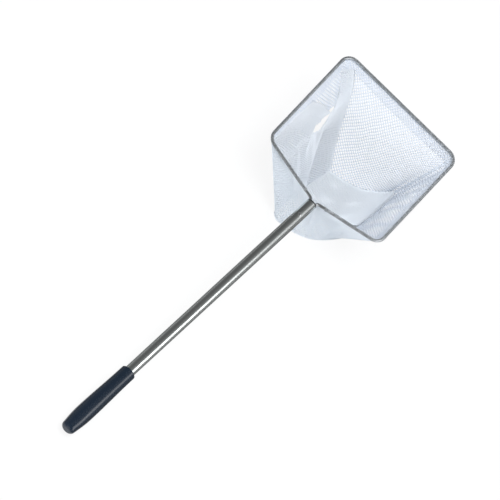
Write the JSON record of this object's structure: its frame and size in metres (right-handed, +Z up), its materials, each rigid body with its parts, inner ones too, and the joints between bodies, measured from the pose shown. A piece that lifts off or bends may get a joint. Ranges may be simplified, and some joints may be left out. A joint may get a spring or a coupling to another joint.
{
  "type": "hand skimmer net",
  "caption": "Hand skimmer net: moulded grip on a straight steel tube, bent wire frame with a shallow neck, and a soft mesh bag hanging open below it.",
  "frame": {"origin": "on the floor, under the middle of the whole net as it is set down on its grip and bag", "axes": "+X from the grip towards the bag, +Y to the left, +Z up"},
  "size_m": [0.6926, 0.2136, 0.1086],
  "materials": {
    "tube_steel": "polished stainless tube with fine drawn lines along it",
    "grip_vinyl": "dark navy dipped vinyl, smooth, half gloss",
    "plug_plastic": "near-black moulded plastic",
    "pin_steel": "domed steel pin",
    "wire_steel": "drawn stainless wire",
    "hem_mesh": "white mesh folded round the wire and sewn",
    "bag_mesh": "fine white synthetic netting, half transparent",
    "seam_thread": "overlocked white seam"
  },
  "bodies": {
    "root": {"handle_tube": "tube_steel", "grip": "grip_vinyl", "neck_plug": "plug_plastic", "neck_pin": "pin_steel", "frame_wire": "wire_steel", "rim_hem": "hem_mesh", "bag_far_panel": "bag_mesh", "bag_left_panel": "bag_mesh", "bag_right_panel": "bag_mesh", "bag_near_panel": "bag_mesh", "bag_bottom_panel": "bag_mesh", "corner_seams": "seam_thread", "foot_seam": "seam_thread"}
  },
  "joints": []
}
